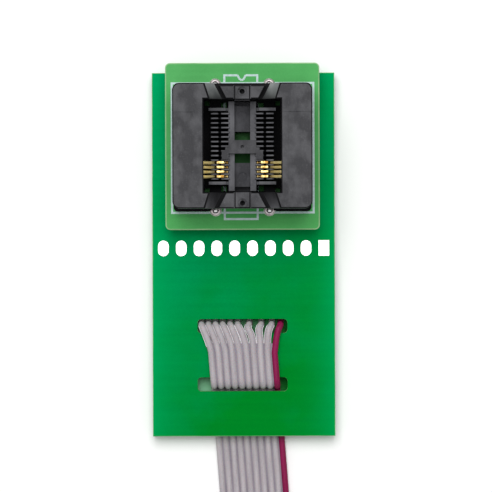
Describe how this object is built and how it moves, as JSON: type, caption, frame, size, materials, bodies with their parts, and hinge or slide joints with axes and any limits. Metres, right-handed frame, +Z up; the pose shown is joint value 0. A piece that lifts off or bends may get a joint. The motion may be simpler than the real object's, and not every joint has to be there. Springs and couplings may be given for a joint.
{
  "type": "open-top chip test socket on a ribbon-cable adapter board",
  "caption": "Press-to-open test socket for a small surface-mount chip, on a plug-in adapter board over a cable board with threaded ribbon lead.",
  "frame": {"origin": "bottom centre of the two boards on the table, leaving the free ribbon and its plug out", "axes": "+Z up out of the socket, +Y towards the socket end, the ribbon leaves towards -Y"},
  "size_m": [0.026, 0.1785, 0.0153],
  "materials": {
    "dark_green_board": "dark green solder mask on glass-epoxy board",
    "light_green_board": "light green solder mask on glass-epoxy board",
    "tin_solder": "bright tin solder",
    "tinned_pins": "tin-plated square pins",
    "black_moulding": "black heat-resistant moulding",
    "grey_black_moulding": "mottled grey-black heat-resistant moulding",
    "gold_strip": "gold-plated stamped strip",
    "spring_steel": "drawn spring wire",
    "grey_pvc": "light grey PVC insulation",
    "red_pvc": "dark red PVC insulation of the first wire"
  },
  "bodies": {
    "carrier": {"main_board": "dark_green_board", "adapter_board": "light_green_board", "pad_solder": "tin_solder", "header_solder": "tin_solder", "header_spacer_left": "black_moulding", "header_spacer_right": "black_moulding", "header_pins_left": "tinned_pins", "header_pins_right": "tinned_pins", "socket_base": "black_moulding", "device_stop": "grey_black_moulding", "ribbon_grey_wires": "grey_pvc", "ribbon_red_wire": "red_pvc", "ribbon_lead": "grey_pvc", "plug_body": "black_moulding", "plug_cap": "black_moulding", "plug_contacts": "gold_strip", "return_spring_1": "spring_steel", "return_spring_2": "spring_steel", "return_spring_3": "spring_steel", "return_spring_4": "spring_steel", "contact_seat_left_1": "gold_strip", "contact_seat_left_2": "gold_strip", "contact_seat_left_3": "gold_strip", "contact_seat_left_4": "gold_strip", "contact_seat_right_1": "gold_strip", "contact_seat_right_2": "gold_strip", "contact_seat_right_3": "gold_strip", "contact_seat_right_4": "gold_strip"},
    "cover": {"socket_cover": "grey_black_moulding"},
    "contacts_left": {"contact_arm_left_1": "gold_strip", "contact_arm_left_2": "gold_strip", "contact_arm_left_3": "gold_strip", "contact_arm_left_4": "gold_strip"},
    "contacts_right": {"contact_arm_right_1": "gold_strip", "contact_arm_right_2": "gold_strip", "contact_arm_right_3": "gold_strip", "contact_arm_right_4": "gold_strip"}
  },
  "joints": [
    {"name": "cover_press", "type": "slide", "parent": "carrier", "child": "cover", "axis": [0, 0, -1], "range_m": [0, 0.0022], "stiffness_N_per_m": 600, "deforming": ["return_spring_1", "return_spring_2", "return_spring_3", "return_spring_4"]},
    {"name": "contacts_left_open", "type": "hinge", "parent": "carrier", "child": "contacts_left", "pos_m": [-0.00392, 0.0113, 0.01004], "axis": [0, -1, 0], "range_deg": [0, 32.6]},
    {"name": "contacts_right_open", "type": "hinge", "parent": "carrier", "child": "contacts_right", "pos_m": [0.00368, 0.0113, 0.01004], "axis": [0, 1, 0], "range_deg": [0, 32.6]}
  ],
  "couplings": [
    {"joint": "contacts_left_open", "follows": "cover_press", "rad_per_m": 258.6},
    {"joint": "contacts_right_open", "follows": "cover_press", "rad_per_m": 258.6}
  ]
}
